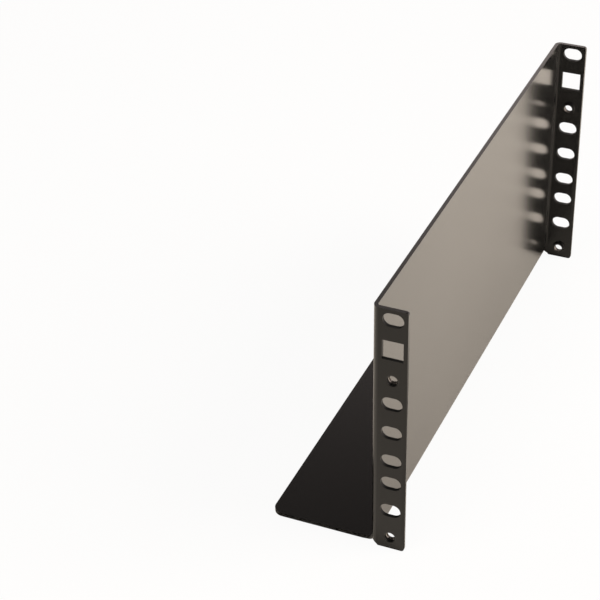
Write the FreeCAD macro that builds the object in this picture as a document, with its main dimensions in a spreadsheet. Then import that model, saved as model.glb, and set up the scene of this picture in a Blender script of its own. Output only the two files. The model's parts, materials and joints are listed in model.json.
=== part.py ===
import FreeCAD, Part
import math
import os
import Sketcher

# Rack extension bracket, folded from one blank of sheet steel.
# The side plate stands between two ears that fold outward to +X, and a shelf flange folds
# inward to -X along its foot. In the body's own frame x is zero on the plate's inner side,
# y is zero halfway between the ears and z is zero at the ears' lower ends.

doc = FreeCAD.newDocument("RackBracket")

# Driving sizes in millimetres: name, value, what it measures
SIZES = [
    ("sheet_thickness", 1.9, "thickness of the sheet"),
    ("bend_radius", 1.3, "radius on the inside of each fold"),
    ("bracket_depth", 273.0, "front face of the front ear to back face of the rear ear"),
    ("ear_width", 16.75, "inner side of the plate to the ear's outer edge"),
    ("ear_corner_radius", 1.4, "rounding of the ear's two outer corners"),
    ("flange_width", 50.2, "inner side of the plate to the flange's outer edge"),
    ("flange_rise", 0.8, "underside of the flange above the ears' lower ends"),
    ("flange_setback", 1.3, "front face of the ear to the end of the flange"),
    ("flange_corner_radius", 5.3, "rounding of the flange's two outer corners"),
    ("fold_setback", 1.6, "front face of the ear to the end of the flange's fold"),
    ("relief_length", 2.8, "length of the slope at the flange's inner corners"),
    ("foot_slope_length", 0.7, "run of the short slope at the ear's lower inner corner"),
    ("foot_slope_rise", 0.8, "rise of the short slope at the ear's lower inner corner"),
    ("notch_rise", 3.3, "height of the corner notch at the plate's inner side"),
    ("hole_inset", 9.75, "inner side of the plate to the column of holes"),
    ("low_hole_height", 6.3, "centre of the lowest hole above the ear's lower end"),
    ("rack_unit", 44.45, "height of one rack unit"),
    ("height_clearance", 1.05, "three rack units less the height of the ears"),
    ("close_pitch", 12.7, "spacing of the holes on either side of a unit's edge"),
    ("slot_length", 10.0, "length of a slot, end to end"),
    ("slot_width", 7.0, "width of a slot"),
    ("square_side", 10.0, "side of the square hole"),
    ("thread_core_radius", 2.2, "radius of the bore under the thread"),
    ("mouth_radius", 1.0, "rounding where the drawn hole enters the sheet"),
    ("collar_radius", 3.1, "outer radius of the drawn collar"),
    ("collar_height", 1.5, "height of the drawn collar above the sheet"),
    ("collar_fillet", 0.4, "radius at the collar's root"),
    ("cutter_margin", 2.0, "how far each cut runs past the sheet"),
]

sheet = doc.addObject("Spreadsheet::Sheet", "Sizes")
for row, (name, size, meaning) in enumerate(SIZES, start=1):
    sheet.set("A%d" % row, name)
    sheet.set("B%d" % row, str(size))
    sheet.set("C%d" % row, meaning)
    sheet.setAlias("B%d" % row, name)
doc.recompute()


def terms(text):
    """Yield the sign, factor and size name of each term in a sum such as 'a + 2*b - c/2'."""
    sign = 1
    for word in text.split():
        if word in ("+", "-"):
            sign = 1 if word == "+" else -1
            continue
        factor = 1.0
        name = word
        if "*" in word:
            front, name = word.split("*")
            factor = float(front)
        if "/" in name:
            name, divisor = name.split("/")
            factor = factor / float(divisor)
        yield sign, factor, name
        sign = 1


def length_of(text):
    """Work out a sum of sizes as a plain number."""
    return sum(sign * factor * float(sheet.get(name)) for sign, factor, name in terms(text))


def formula(text):
    """Write the same sum as an expression on the sheet's cells."""
    parts = ["%s %r * Sizes.%s" % ("-" if sign < 0 else "+", factor, name)
             for sign, factor, name in terms(text)]
    return "0 mm " + " ".join(part + " * 1 mm" for part in parts)


def bind(sketch, constraint, text):
    """Add a dimension to a sketch and tie it to the sheet."""
    index = sketch.addConstraint(constraint)
    sketch.setExpression("Constraints[%d]" % index, formula(text))


def place_point(sketch, edge, end, across, up):
    """Fix a point of a sketch at two sums of sizes; an empty sum lies on the axis."""
    for kind, axis, text in (("DistanceX", -2, across), ("DistanceY", -1, up)):
        if text:
            bind(sketch, Sketcher.Constraint(kind, -1, 1, edge, end, length_of(text)), text)
        else:
            sketch.addConstraint(Sketcher.Constraint("PointOnObject", edge, end, axis))


def draw_outline(sketch, corners):
    """Draw a closed outline; a corner is (across, up) or (across, up, radius, side)
    where an arc of that radius leads to the next corner and bulges to its left if side is 1."""
    points = [FreeCAD.Vector(length_of(c[0]), length_of(c[1]), 0) for c in corners]
    first = sketch.GeometryCount
    ends = []
    for number, corner in enumerate(corners):
        start = points[number]
        end = points[(number + 1) % len(points)]
        ends.append((1, 2))
        if len(corner) == 2:
            sketch.addGeometry(Part.LineSegment(start, end), False)
            continue
        chord = end - start
        normal = FreeCAD.Vector(-chord.y, chord.x, 0).normalize() * corner[3]
        radius = length_of(corner[2])
        reach = math.sqrt(max(radius ** 2 - chord.Length ** 2 / 4, 0))
        centre = (start + end) / 2 - normal * reach
        # Arcs run anticlockwise, so one that bulges to the left starts at the later corner
        if corner[3] > 0:
            start, end = end, start
            ends[-1] = (2, 1)
        from_angle = math.atan2(start.y - centre.y, start.x - centre.x)
        to_angle = math.atan2(end.y - centre.y, end.x - centre.x)
        if to_angle < from_angle:
            to_angle += 2 * math.pi
        circle = Part.Circle(centre, FreeCAD.Vector(0, 0, 1), radius)
        sketch.addGeometry(Part.ArcOfCircle(circle, from_angle, to_angle), False)
    for number, corner in enumerate(corners):
        edge = first + number
        following = (number + 1) % len(corners)
        link = Sketcher.Constraint("Coincident", edge, ends[number][1],
                                   first + following, ends[following][0])
        sketch.addConstraint(link)
        place_point(sketch, edge, ends[number][0], corner[0], corner[1])
    for number, corner in enumerate(corners):
        if len(corner) > 2:
            radius = length_of(corner[2])
            bind(sketch, Sketcher.Constraint("Radius", first + number, radius), corner[2])


def draw_slot(sketch, across, up, size_along, size_wide):
    """Draw a level slot with round ends about a centre."""
    half_width = length_of(size_wide) / 2
    half_run = length_of(size_along) / 2 - half_width
    middle = FreeCAD.Vector(length_of(across), length_of(up), 0)
    axis = FreeCAD.Vector(0, 0, 1)
    left = middle - FreeCAD.Vector(half_run, 0, 0)
    right = middle + FreeCAD.Vector(half_run, 0, 0)
    rise = FreeCAD.Vector(0, half_width, 0)
    right_end = Part.ArcOfCircle(Part.Circle(right, axis, half_width), -math.pi / 2, math.pi / 2)
    left_end = Part.ArcOfCircle(Part.Circle(left, axis, half_width), math.pi / 2, 3 * math.pi / 2)
    first = sketch.GeometryCount
    sketch.addGeometry(right_end, False)
    sketch.addGeometry(Part.LineSegment(right + rise, left + rise), False)
    sketch.addGeometry(left_end, False)
    sketch.addGeometry(Part.LineSegment(left - rise, right - rise), False)
    for number in range(4):
        following = first + (number + 1) % 4
        sketch.addConstraint(Sketcher.Constraint("Tangent", first + number, 2, following, 1))
    sketch.addConstraint(Sketcher.Constraint("Equal", first, first + 2))
    bind(sketch, Sketcher.Constraint("Radius", first, half_width), size_wide + "/2")
    run = size_along + "/2 - " + size_wide + "/2"
    place_point(sketch, first, 3, across + " + " + run, up)
    place_point(sketch, first + 2, 3, across + " - " + run.replace(" - ", " + "), up)


def draw_rectangle(sketch, left, right, low, high):
    """Draw a rectangle between four sums of sizes."""
    draw_outline(sketch, [(left, low), (right, low), (right, high), (left, high)])


body = doc.addObject("PartDesign::Body", "Bracket")
body.Label = "bracket"


def new_sketch(name, plane):
    """Start a sketch on one of the body's own origin planes."""
    sketch = body.newObject("Sketcher::SketchObject", name)
    support = [item for item in body.Origin.OriginFeatures if item.Role == plane][0]
    sketch.AttachmentSupport = [(support, "")]
    sketch.MapMode = "FlatFace"
    return sketch


def extrude(kind, name, sketch, text, both_ways):
    """Pad or pocket a sketch by a sum of sizes, along its normal or evenly both ways."""
    feature = body.newObject("PartDesign::" + kind, name)
    feature.Profile = sketch
    feature.Type = "Length"
    feature.setExpression("Length", formula(text))
    if both_ways:
        feature.SideType = "Symmetric"
    sketch.Visibility = False
    doc.recompute()
    return feature


LEAST_CHANGE = 0.01


def volume_check(feature, before, removes):
    """Make sure that a feature has really cut or added material, in cubic millimetres."""
    after = feature.Shape.Volume
    if (before - after if removes else after - before) < LEAST_CHANGE:
        raise RuntimeError("feature changes nothing: " + feature.Label)
    return after


# Side plate and both ears: one channel with a rounded fold at each end.
FOLD = "sheet_thickness + bend_radius"
FRONT = "- bracket_depth/2"
BACK = "bracket_depth/2"
TOP = "3*rack_unit - height_clearance"
channel_sketch = new_sketch("ChannelSection", "XY_Plane")
draw_outline(channel_sketch, [
    ("ear_width", FRONT),
    ("ear_width", FRONT + " + sheet_thickness"),
    (FOLD, FRONT + " + sheet_thickness", "bend_radius", 1),
    ("sheet_thickness", FRONT + " + " + FOLD),
    ("sheet_thickness", BACK + " - sheet_thickness - bend_radius", "bend_radius", 1),
    (FOLD, BACK + " - sheet_thickness"),
    ("ear_width", BACK + " - sheet_thickness"),
    ("ear_width", BACK),
    (FOLD, BACK, FOLD, -1),
    ("", BACK + " - sheet_thickness - bend_radius"),
    ("", FRONT + " + " + FOLD, FOLD, -1),
    (FOLD, FRONT),
])
channel = extrude("Pad", "Channel", channel_sketch, TOP, False)
volume = channel.Shape.Volume

# Corner notches: the ears' folds are cut back where the flange's fold begins, so that
# the two folds don't meet. First the slope seen from the front, then the one from the side.
notch_front = new_sketch("NotchFront", "XZ_Plane")
draw_outline(notch_front, [
    (FOLD + " + foot_slope_length", "- cutter_margin"),
    (FOLD + " + foot_slope_length", ""),
    (FOLD, "foot_slope_rise"),
    ("", "notch_rise"),
    ("- cutter_margin", "notch_rise"),
    ("- cutter_margin", "- cutter_margin"),
])
pocket = extrude("Pocket", "NotchFromFront", notch_front, "2*bracket_depth", True)
volume = volume_check(pocket, volume, True)

FOLD_TOP = "flange_rise + sheet_thickness + bend_radius"
notch_side = new_sketch("NotchSide", "YZ_Plane")
draw_outline(notch_side, [
    (FRONT + " + sheet_thickness", "- cutter_margin"),
    (FRONT + " + sheet_thickness", "foot_slope_rise"),
    (FRONT + " + " + FOLD, FOLD_TOP),
    (BACK + " - sheet_thickness - bend_radius", FOLD_TOP),
    (BACK + " - sheet_thickness", "foot_slope_rise"),
    (BACK + " - sheet_thickness", "- cutter_margin"),
])
pocket = extrude("Pocket", "NotchFromSide", notch_side, "2*ear_width", True)
volume = volume_check(pocket, volume, True)

# Fold of the shelf flange, a quarter turn from the plate's foot towards -X.
fold_sketch = new_sketch("FlangeFold", "XZ_Plane")
draw_outline(fold_sketch, [
    ("", FOLD_TOP),
    ("sheet_thickness", FOLD_TOP, FOLD, 1),
    ("- bend_radius", "flange_rise"),
    ("- bend_radius", "flange_rise + sheet_thickness", "bend_radius", -1),
])
fold = extrude("Pad", "Fold", fold_sketch, "bracket_depth - 2*fold_setback", True)
volume = volume_check(fold, volume, False)

# Shelf flange: flat, with two large outer corners and a short slope beside each fold end.
flange_sketch = new_sketch("FlangeOutline", "XY_Plane")
flange_sketch.setExpression("AttachmentOffset.Base.z", formula("flange_rise"))
FLANGE_EDGE = "- flange_width"
ROUNDED = "- flange_width + flange_corner_radius"
draw_outline(flange_sketch, [
    ("- bend_radius", FRONT + " + fold_setback"),
    ("- bend_radius", BACK + " - fold_setback"),
    ("- bend_radius - relief_length", BACK + " - flange_setback"),
    (ROUNDED, BACK + " - flange_setback", "flange_corner_radius", -1),
    (FLANGE_EDGE, BACK + " - flange_setback - flange_corner_radius"),
    (FLANGE_EDGE, FRONT + " + flange_setback + flange_corner_radius", "flange_corner_radius", -1),
    (ROUNDED, FRONT + " + flange_setback"),
    ("- bend_radius - relief_length", FRONT + " + flange_setback"),
])
flange = extrude("Pad", "Flange", flange_sketch, "sheet_thickness", False)
volume = volume_check(flange, volume, False)

# Outer corners of both ears, rounded by one cut that runs through front and back.
corner_sketch = new_sketch("EarCorners", "XZ_Plane")
OUTSIDE = "ear_width + cutter_margin"
INSIDE = "ear_width - ear_corner_radius"
draw_outline(corner_sketch, [
    (INSIDE, TOP, "ear_corner_radius", 1),
    ("ear_width", TOP + " - ear_corner_radius"),
    (OUTSIDE, TOP + " - ear_corner_radius"),
    (OUTSIDE, TOP + " + cutter_margin"),
    (INSIDE, TOP + " + cutter_margin"),
])
draw_outline(corner_sketch, [
    ("ear_width", "ear_corner_radius", "ear_corner_radius", 1),
    (INSIDE, ""),
    (INSIDE, "- cutter_margin"),
    (OUTSIDE, "- cutter_margin"),
    (OUTSIDE, "ear_corner_radius"),
])
pocket = extrude("Pocket", "RoundedCorners", corner_sketch, "2*bracket_depth", True)
volume = volume_check(pocket, volume, True)

# Rack holes: each unit has three, its middle one halfway and its outer ones half a close
# pitch from its edges. Counted upward from the lowest hole, which is a tapped one.
SLOT_HEIGHTS = [
    "low_hole_height + rack_unit/2 - close_pitch/2",
    "low_hole_height + rack_unit - close_pitch",
    "low_hole_height + rack_unit",
    "low_hole_height + 1.5*rack_unit - close_pitch/2",
    "low_hole_height + 2*rack_unit - close_pitch",
    "low_hole_height + 3*rack_unit - close_pitch",
]
SQUARE_HEIGHT = "low_hole_height + 2.5*rack_unit - close_pitch/2"
TAPPED_HEIGHTS = [
    "low_hole_height",
    "low_hole_height + 2*rack_unit",
]
opening_sketch = new_sketch("RackOpenings", "XZ_Plane")
for height in SLOT_HEIGHTS:
    draw_slot(opening_sketch, "hole_inset", height, "slot_length", "slot_width")
draw_rectangle(opening_sketch,
               "hole_inset - square_side/2", "hole_inset + square_side/2",
               SQUARE_HEIGHT + " - square_side/2", SQUARE_HEIGHT + " + square_side/2")
pocket = extrude("Pocket", "Openings", opening_sketch, "2*bracket_depth", True)
volume = volume_check(pocket, volume, True)

# Tapped holes: the sheet is drawn inward into a short collar and tapped, so the outer
# face has a rounded mouth. Each is turned about its own axis from the ear's outer face.
COLLAR_END = "sheet_thickness + collar_height"
MOUTH = "thread_core_radius + mouth_radius"
for ear_name, ear_face, turn in (("Front", FRONT, 0), ("Rear", BACK, 180)):
    for number, height in enumerate(TAPPED_HEIGHTS, start=1):
        name = "%s%d" % (ear_name, number)
        profiles = []
        for part_name in ("CollarSection", "BoreSection"):
            section = new_sketch(part_name + name, "YZ_Plane")
            turned = FreeCAD.Rotation(FreeCAD.Vector(0, 1, 0), turn)
            section.AttachmentOffset = FreeCAD.Placement(FreeCAD.Vector(), turned)
            section.setExpression("AttachmentOffset.Base.x", formula(ear_face))
            section.setExpression("AttachmentOffset.Base.y", formula(height))
            section.setExpression("AttachmentOffset.Base.z", formula("hole_inset"))
            profiles.append(section)
        draw_outline(profiles[0], [
            ("sheet_thickness/2", ""),
            (COLLAR_END, ""),
            (COLLAR_END, "collar_radius"),
            ("sheet_thickness + collar_fillet", "collar_radius", "collar_fillet", 1),
            ("sheet_thickness", "collar_radius + collar_fillet"),
            ("sheet_thickness/2", "collar_radius + collar_fillet"),
        ])
        draw_outline(profiles[1], [
            ("- cutter_margin", ""),
            (COLLAR_END + " + cutter_margin", ""),
            (COLLAR_END + " + cutter_margin", "thread_core_radius"),
            ("mouth_radius", "thread_core_radius", "mouth_radius", 1),
            ("", MOUTH),
            ("- cutter_margin", MOUTH),
        ])
        for kind, section, removes in (("Revolution", profiles[0], False),
                                       ("Groove", profiles[1], True)):
            feature = body.newObject("PartDesign::" + kind, kind + name)
            feature.Profile = section
            feature.ReferenceAxis = (section, ["H_Axis"])
            feature.Angle = 360
            section.Visibility = False
            doc.recompute()
            volume = volume_check(feature, volume, removes)

# The part's frame has its origin under the middle of the whole bracket.
body.setExpression("Placement.Base.x", formula("flange_width/2 - ear_width/2"))
doc.recompute()

for item in doc.Objects:
    if "Invalid" in item.State or "Error" in item.State:
        raise RuntimeError("object failed: " + item.Label)

os.makedirs("parts", exist_ok=True)
for item in [body]:
    shape = item.Shape
    if shape.isNull() or not shape.isValid():
        raise RuntimeError("bad shape: " + item.Label)
    if len(shape.Solids) != 1:
        raise RuntimeError("not one solid: " + item.Label)
    shape.exportStep(os.path.join("parts", item.Label + ".step"))
    box = shape.BoundBox
    print("%s: volume %.1f mm3, x %.2f to %.2f, y %.2f to %.2f, z %.2f to %.2f" % (
        item.Label, shape.Volume, box.XMin, box.XMax, box.YMin, box.YMax, box.ZMin, box.ZMax))
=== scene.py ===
import json
import math

import bmesh
import bpy
from mathutils import Matrix, Vector


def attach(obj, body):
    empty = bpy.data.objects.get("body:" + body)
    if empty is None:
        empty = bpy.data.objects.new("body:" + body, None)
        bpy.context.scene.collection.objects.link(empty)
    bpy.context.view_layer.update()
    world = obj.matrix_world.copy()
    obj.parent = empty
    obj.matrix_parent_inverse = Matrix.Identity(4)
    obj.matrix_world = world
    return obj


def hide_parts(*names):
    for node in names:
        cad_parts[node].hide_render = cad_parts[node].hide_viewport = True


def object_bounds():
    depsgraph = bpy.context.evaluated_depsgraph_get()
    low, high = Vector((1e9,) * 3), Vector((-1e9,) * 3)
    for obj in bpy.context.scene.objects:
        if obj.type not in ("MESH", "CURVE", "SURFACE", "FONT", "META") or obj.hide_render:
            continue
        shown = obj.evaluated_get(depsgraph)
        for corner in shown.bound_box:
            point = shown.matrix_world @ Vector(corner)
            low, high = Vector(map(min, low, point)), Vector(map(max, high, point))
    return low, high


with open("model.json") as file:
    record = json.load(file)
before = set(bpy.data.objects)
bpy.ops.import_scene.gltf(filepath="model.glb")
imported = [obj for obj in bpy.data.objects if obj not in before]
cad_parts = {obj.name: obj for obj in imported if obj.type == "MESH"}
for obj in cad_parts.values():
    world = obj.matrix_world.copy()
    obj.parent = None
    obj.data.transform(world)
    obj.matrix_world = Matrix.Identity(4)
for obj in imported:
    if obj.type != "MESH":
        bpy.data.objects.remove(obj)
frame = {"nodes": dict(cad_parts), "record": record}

cad_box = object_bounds()

# The bracket's shape: one blank of sheet steel, punched, drawn and tapped, then folded
# into a plate, two ears and a shelf flange. The coat pulls back from every punched edge
# and rounds it, so the solid is welded into one skin and its edges are softened.
MM = 0.001
WELD = 0.001 * MM
FLAT_WITHIN = math.radians(0.5)
SHARP_FROM = math.radians(40)
COATED_EDGE = 0.25 * MM
EDGE_STEPS = 3
RELIEF_HEIGHT = 4.6 * MM
RELIEF_DEPTH = 3.0 * MM
low_corner, high_corner = cad_box

punched = frame["nodes"]["bracket"]
skin = bmesh.new()
skin.from_mesh(punched.data)
bmesh.ops.remove_doubles(skin, verts=skin.verts, dist=WELD)
bmesh.ops.dissolve_limit(skin, angle_limit=FLAT_WITHIN, verts=skin.verts, edges=skin.edges)


def at_a_relief(vertex):
    """Tell the small reliefs at the foot's ends, which stay as sharp as they were cut."""
    low = vertex.co.z < low_corner[2] + RELIEF_HEIGHT
    return low and abs(vertex.co.y) > high_corner[1] - RELIEF_DEPTH


punched_edges = [edge for edge in skin.edges
                 if edge.is_manifold and edge.calc_face_angle() > SHARP_FROM
                 and not any(at_a_relief(vertex) for vertex in edge.verts)]
bmesh.ops.bevel(skin, geom=punched_edges, offset=COATED_EDGE, segments=EDGE_STEPS,
                profile=0.5, affect="EDGES", clamp_overlap=True, material=-1)
for face in skin.faces:
    face.smooth = True

# The punched walls: the sides of the slots and square holes, sheared by the punch. They
# are picked out by where they lie, inside an ear's sheet and clear of the ear's own edges.
# The numbers are places in the bracket's list of materials, where the coat comes first.
SHEARED = 1
BARE = 2
EAR_EDGE = 1.6 * MM
COLUMN_REACH = 5.2 * MM
SHEARED_WALL_DEPTH = 1.95 * MM
WALL_LEANS_UNDER = 0.5

tapped_holes = [mount for mount in frame["record"]["mounts"] if mount["kind"] == "threaded_hole"]
hole_column = tapped_holes[0]["pos_m"][0]
for face in skin.faces:
    middle = face.calc_center_median()
    in_an_ear = high_corner[1] - abs(middle.y) < SHEARED_WALL_DEPTH
    in_the_column = abs(middle.x - hole_column) < COLUMN_REACH
    clear_of_ends = low_corner[2] + EAR_EDGE < middle.z < high_corner[2] - EAR_EDGE
    upright_wall = abs(face.normal.y) < WALL_LEANS_UNDER
    if in_an_ear and in_the_column and clear_of_ends and upright_wall:
        face.material_index = SHEARED

# The tapped bores: after coating, a tap cuts each drawn bore out to the thread's root, so
# a groove of bare steel runs round it, with a short run-out at each end.
THREAD_DEPTH = 0.43 * MM
THREAD_RUN_OUT = 0.06 * MM
ON_THE_WALL = 0.01 * MM

for mount in tapped_holes:
    centre, axis = Vector(mount["pos_m"]), Vector(mount["axis"])
    core_radius = mount["dims"]["r_mm"] * MM
    half_length = mount["dims"]["length_mm"] * MM / 2

    def on_the_wall(vertex):
        """Tell whether a vertex lies on the bore's wall, within its plain length."""
        along = (vertex.co - centre).dot(axis)
        away = (vertex.co - centre - axis * along).length
        return abs(along) < half_length + ON_THE_WALL and abs(away - core_radius) < ON_THE_WALL

    wall = [face for face in skin.faces if all(on_the_wall(vertex) for vertex in face.verts)]
    run_out = bmesh.ops.inset_region(skin, faces=wall, thickness=THREAD_RUN_OUT,
                                     depth=-THREAD_DEPTH, use_boundary=True,
                                     use_even_offset=True)["faces"]
    for face in wall + run_out:
        face.material_index = BARE


def add_piece(name, mesh_data):
    """Turn a bmesh into a piece that rides on the bracket's one body."""
    mesh = bpy.data.meshes.new(name)
    mesh_data.to_mesh(mesh)
    mesh_data.free()
    piece = bpy.data.objects.new(name, mesh)
    bpy.context.scene.collection.objects.link(piece)
    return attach(piece, "root")


LARGE_FACES_LEAD = 100

bracket = add_piece("coated_bracket", skin)
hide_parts("bracket")
even_light = bracket.modifiers.new("flat faces stay flat", "WEIGHTED_NORMAL")
even_light.keep_sharp = False
even_light.weight = LARGE_FACES_LEAD

# Satin black powder coat: polyester powder sprayed on and baked to about 0.08 mm, with an
# even pebble a millimetre across and some microns high. It is nearly black face on, and
# mirrors its surroundings softly, with a stronger sheen the more it is seen edge on.


def linear(hex_colour):
    """Turn an sRGB hex colour into linear light."""
    levels = [int(hex_colour[place:place + 2], 16) / 255 for place in (1, 3, 5)]
    return [level / 12.92 if level < 0.04045 else ((level + 0.055) / 1.055) ** 2.4
            for level in levels] + [1.0]


def add_node(tree, kind, inputs, **settings):
    """Add a node with its settings; an input that is a socket is linked, not set."""
    node = tree.nodes.new(kind)
    for setting, value in settings.items():
        setattr(node, setting, value)
    for socket, value in inputs.items():
        if isinstance(value, bpy.types.NodeSocket):
            tree.links.new(value, node.inputs[socket])
        else:
            node.inputs[socket].default_value = value
    return node


def new_material(name):
    """Start an empty material and return it with its node tree."""
    material = bpy.data.materials.new(name)
    material.use_nodes = True
    material.node_tree.nodes.clear()
    return material, material.node_tree


COAT_COLOUR = "#0d0d0c"
COAT_IOR = 1.5
COAT_SPECULAR = 0.39
PEBBLE = 0.9 * MM
PEBBLE_HEIGHT = 0.006 * MM
PEBBLE_FOOT = 0.3
PEBBLE_TOP = 0.7
FOOT_ROUGHNESS = 0.20
TOP_ROUGHNESS = 0.26
SHEEN_FROM = 0.25
SHEEN_FULL = 0.65
SHEEN_ROUGHNESS = 0.20

powder_coat, tree = new_material("satin_black_powder_coat")
place = add_node(tree, "ShaderNodeTexCoord", {}).outputs["Object"]
pebble = add_node(tree, "ShaderNodeTexNoise",
                  {"Vector": place, "Scale": 1 / PEBBLE, "Detail": 2.0, "Roughness": 0.5})
relief = add_node(tree, "ShaderNodeBump",
                  {"Height": pebble.outputs["Fac"], "Strength": 1.0, "Distance": PEBBLE_HEIGHT})
pebbled = relief.outputs["Normal"]

# The sheet bows by a degree or two where the plate runs into its folds, which only its
# reflections show, so the coat's normal leans towards the nearer end there.
BOW_FROM = 40 * MM
BOW_SLOPE = 0.035

along_plate = add_node(tree, "ShaderNodeSeparateXYZ", {"Vector": place}).outputs["Y"]
from_middle = add_node(tree, "ShaderNodeMath", {0: along_plate}, operation="ABSOLUTE").outputs[0]
which_end = add_node(tree, "ShaderNodeMath", {0: along_plate}, operation="SIGN").outputs[0]
bow = add_node(tree, "ShaderNodeMapRange",
               {"Value": from_middle, "From Min": BOW_FROM, "From Max": high_corner[1],
                "To Min": 0.0, "To Max": BOW_SLOPE}).outputs["Result"]
outward = add_node(tree, "ShaderNodeSeparateXYZ", {"Vector": pebbled}).outputs["X"]
lean = add_node(tree, "ShaderNodeMath", {0: bow, 1: which_end}, operation="MULTIPLY").outputs[0]
lean = add_node(tree, "ShaderNodeMath", {0: lean, 1: outward}, operation="MULTIPLY").outputs[0]
lean = add_node(tree, "ShaderNodeCombineXYZ", {"Y": lean}).outputs["Vector"]
bowed = add_node(tree, "ShaderNodeVectorMath", {0: pebbled, 1: lean},
                 operation="ADD").outputs["Vector"]
bowed = add_node(tree, "ShaderNodeVectorMath", {0: bowed}, operation="NORMALIZE").outputs["Vector"]

gloss = add_node(tree, "ShaderNodeMapRange",
                 {"Value": pebble.outputs["Fac"], "From Min": PEBBLE_FOOT,
                  "From Max": PEBBLE_TOP, "To Min": FOOT_ROUGHNESS, "To Max": TOP_ROUGHNESS})
facing = add_node(tree, "ShaderNodeLayerWeight", {"Blend": 0.5}).outputs["Facing"]
sheen = add_node(tree, "ShaderNodeMapRange",
                 {"Value": facing, "From Min": SHEEN_FROM, "From Max": SHEEN_FULL,
                  "To Min": 0.0, "To Max": 1.0})
coat = add_node(tree, "ShaderNodeBsdfPrincipled",
                {"Base Color": linear(COAT_COLOUR), "Roughness": gloss.outputs["Result"],
                 "IOR": COAT_IOR, "Specular IOR Level": COAT_SPECULAR, "Normal": bowed,
                 "Coat Weight": sheen.outputs["Result"], "Coat IOR": COAT_IOR,
                 "Coat Roughness": SHEEN_ROUGHNESS, "Coat Normal": bowed})
add_node(tree, "ShaderNodeOutputMaterial", {"Surface": coat.outputs["BSDF"]})
bracket.data.materials.append(powder_coat)

# The same coat on the sheared walls of the slots and square holes: thin and matt over the
# torn steel, so it mirrors little and stays near black.
WALL_COLOUR = "#0e0e0d"
WALL_ROUGHNESS = 0.4
WALL_SPECULAR = 0.2

sheared_coat, tree = new_material("matt_powder_coat_on_sheared_steel")
wall_coat = add_node(tree, "ShaderNodeBsdfPrincipled",
                     {"Base Color": linear(WALL_COLOUR), "Roughness": WALL_ROUGHNESS,
                      "Specular IOR Level": WALL_SPECULAR})
add_node(tree, "ShaderNodeOutputMaterial", {"Surface": wall_coat.outputs["BSDF"]})
bracket.data.materials.append(sheared_coat)

# The threads: the helical ridges that the tap leaves standing in the four bores, of bare
# bright steel. Each is its own short helix on the tapped groove, from root to crest.
PITCH = 0.8 * MM
RIDGE_FOOT = 0.3 * MM
RIDGE_TIP = 0.05 * MM
ROOTED = 0.02 * MM
STEPS_PER_TURN = 32
STEEL_COLOUR = "#96928d"
STEEL_ROUGHNESS = 0.18

bare_steel, tree = new_material("bare_tapped_steel")
steel = add_node(tree, "ShaderNodeBsdfPrincipled",
                 {"Base Color": linear(STEEL_COLOUR), "Metallic": 1.0,
                  "Roughness": STEEL_ROUGHNESS})
add_node(tree, "ShaderNodeOutputMaterial", {"Surface": steel.outputs["BSDF"]})
bracket.data.materials.append(bare_steel)

for mount in tapped_holes:
    centre, axis = Vector(mount["pos_m"]), Vector(mount["axis"])
    crest_radius = mount["dims"]["r_mm"] * MM
    root_radius = crest_radius + THREAD_DEPTH + ROOTED
    groove = mount["dims"]["length_mm"] * MM - COATED_EDGE - 2 * THREAD_RUN_OUT
    run = groove - 2 * RIDGE_FOOT
    start = centre + axis * (COATED_EDGE - run) / 2
    across = axis.orthogonal().normalized()
    steps = round(run / PITCH * STEPS_PER_TURN)
    ridge = bmesh.new()
    profile = [ridge.verts.new(start + across * radius + axis * along)
               for radius, along in ((root_radius, -RIDGE_FOOT), (crest_radius, -RIDGE_TIP),
                                     (crest_radius, RIDGE_TIP), (root_radius, RIDGE_FOOT))]
    end_face = ridge.faces.new(profile)
    bmesh.ops.spin(ridge, geom=profile + list(end_face.edges) + [end_face], cent=start,
                   axis=axis, dvec=axis * run / steps, angle=math.tau * run / PITCH,
                   steps=steps, use_merge=False, use_duplicate=False)
    bmesh.ops.recalc_face_normals(ridge, faces=ridge.faces)
    thread = add_piece(mount["name"].replace("tapped", "thread"), ridge)
    thread.data.materials.append(bare_steel)

# The stage: a pale satin sweep that the bracket stands on, seen as plain white, with the
# bracket's own soft shadow left on it.
SWEEP_HALF = 3.0
SWEEP_COLOUR = "#f3e9da"
SWEEP_ROUGHNESS = 0.35
SEEN_AS_WHITE = 0.93
WHITE = (1, 1, 1, 1)

sweep_mesh = bmesh.new()
bmesh.ops.create_grid(sweep_mesh, x_segments=1, y_segments=1, size=SWEEP_HALF)
sweep_data = bpy.data.meshes.new("sweep")
sweep_mesh.to_mesh(sweep_data)
sweep_mesh.free()
sweep = bpy.data.objects.new("sweep", sweep_data)
bpy.context.scene.collection.objects.link(sweep)

pale_board, tree = new_material("pale_satin_board")
board = add_node(tree, "ShaderNodeBsdfPrincipled",
                 {"Base Color": linear(SWEEP_COLOUR), "Roughness": SWEEP_ROUGHNESS})
white = add_node(tree, "ShaderNodeEmission", {"Color": WHITE, "Strength": 1.0})
ray = add_node(tree, "ShaderNodeLightPath", {})
share = add_node(tree, "ShaderNodeMath",
                 {0: ray.outputs["Is Camera Ray"], 1: SEEN_AS_WHITE}, operation="MULTIPLY")
seen = add_node(tree, "ShaderNodeMixShader",
                {0: share.outputs[0], 1: board.outputs["BSDF"], 2: white.outputs["Emission"]})
add_node(tree, "ShaderNodeOutputMaterial", {"Surface": seen.outputs["Shader"]})
sweep.data.materials.append(pale_board)

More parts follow.
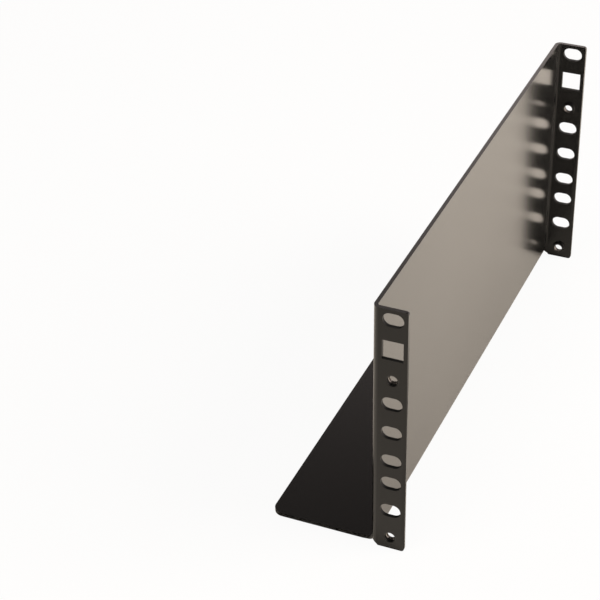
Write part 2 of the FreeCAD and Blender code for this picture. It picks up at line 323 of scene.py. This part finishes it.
# Studio light: a dim room with a bright low cove, which fades upwards and towards the
# bracket's left, and two softboxes, a large one on the right and a smaller one high in
# front. The coat mirrors the cove and the sweep, and neither softbox.
ROOM_LEVEL = 0.08
ROOM_COLOUR = "#fff0ea"
COVE_LEVEL = 1.2
COVE_FADES_FROM = math.sin(math.radians(22))
COVE_FADES_TO = math.sin(math.radians(40))
TO_THE_LEFT = (-0.917, -0.399, 0)
LEFT_IS_DIM_FROM = 0.12
LEFT_IS_DIM_TO = 0.25

room = bpy.data.worlds.new("studio")
bpy.context.scene.world = room
room.use_nodes = True
tree = room.node_tree
tree.nodes.clear()
toward = add_node(tree, "ShaderNodeTexCoord", {}).outputs["Generated"]
height = add_node(tree, "ShaderNodeSeparateXYZ", {"Vector": toward}).outputs["Z"]
cove = add_node(tree, "ShaderNodeMapRange",
                {"Value": height, "From Min": COVE_FADES_FROM, "From Max": COVE_FADES_TO,
                 "To Min": COVE_LEVEL, "To Max": ROOM_LEVEL}, interpolation_type="SMOOTHSTEP")
sideways = add_node(tree, "ShaderNodeVectorMath", {0: toward, 1: TO_THE_LEFT},
                    operation="DOT_PRODUCT").outputs["Value"]
level_there = add_node(tree, "ShaderNodeMapRange",
                       {"Value": sideways, "From Min": LEFT_IS_DIM_FROM,
                        "From Max": LEFT_IS_DIM_TO, "To Min": cove.outputs["Result"],
                        "To Max": ROOM_LEVEL}, interpolation_type="SMOOTHSTEP")
as_lit = add_node(tree, "ShaderNodeBackground",
                  {"Color": linear(ROOM_COLOUR), "Strength": level_there.outputs["Result"]})
as_seen = add_node(tree, "ShaderNodeBackground", {"Color": WHITE, "Strength": 1.0})
ray = add_node(tree, "ShaderNodeLightPath", {})
walls = add_node(tree, "ShaderNodeMixShader",
                 {0: ray.outputs["Is Camera Ray"], 1: as_lit.outputs[0], 2: as_seen.outputs[0]})
add_node(tree, "ShaderNodeOutputWorld", {"Surface": walls.outputs[0]})


def add_softbox(name, azimuth, elevation, distance, size, level):
    """Hang a square softbox towards the bracket; level is its face's brightness, white being 1."""
    turn, lift = math.radians(azimuth), math.radians(elevation)
    outwards = Vector((math.sin(turn) * math.cos(lift), -math.cos(turn) * math.cos(lift),
                       math.sin(lift)))
    lamp = bpy.data.lights.new(name, "AREA")
    lamp.shape = "SQUARE"
    lamp.size = size
    lamp.energy = level * math.pi * size ** 2
    softbox = bpy.data.objects.new(name, lamp)
    softbox.matrix_world = (Matrix.Translation(outwards * distance)
                            @ outwards.to_track_quat("Z", "Y").to_matrix().to_4x4())
    softbox.visible_camera = False
    softbox.visible_glossy = False
    bpy.context.scene.collection.objects.link(softbox)


add_softbox("softbox_at_right", azimuth=104, elevation=36, distance=2.4, size=1.48, level=8.05)
add_softbox("softbox_high_in_front", azimuth=-20, elevation=60, distance=1.6, size=0.8, level=5.6)

# Camera: the photograph's own viewpoint, worked out from the rack's standard hole pitch.
# Its angles are in radians, and its lens and sensor in millimetres.
CAMERA_PLACE = Vector((258.865, -771.06, 587.79)) * MM
CAMERA_AZIMUTH = 0.4095
CAMERA_ELEVATION = 0.5876
CAMERA_ROLL = -0.0157
LENS = 115.24
SENSOR_WIDTH = 36.0

back = Vector((math.sin(CAMERA_AZIMUTH) * math.cos(CAMERA_ELEVATION),
               -math.cos(CAMERA_AZIMUTH) * math.cos(CAMERA_ELEVATION),
               math.sin(CAMERA_ELEVATION)))
level_right = Vector((0, 0, 1)).cross(back).normalized()
level_up = back.cross(level_right)
view = Matrix((level_right, level_up, back)).transposed() @ Matrix.Rotation(CAMERA_ROLL, 3, "Z")
lens = bpy.data.cameras.new("camera")
lens.lens = LENS
lens.sensor_width = SENSOR_WIDTH
camera = bpy.data.objects.new("camera", lens)
camera.matrix_world = Matrix.Translation(CAMERA_PLACE) @ view.to_4x4()
bpy.context.scene.collection.objects.link(camera)
bpy.context.scene.camera = camera
bpy.context.scene.view_settings.view_transform = "Standard"
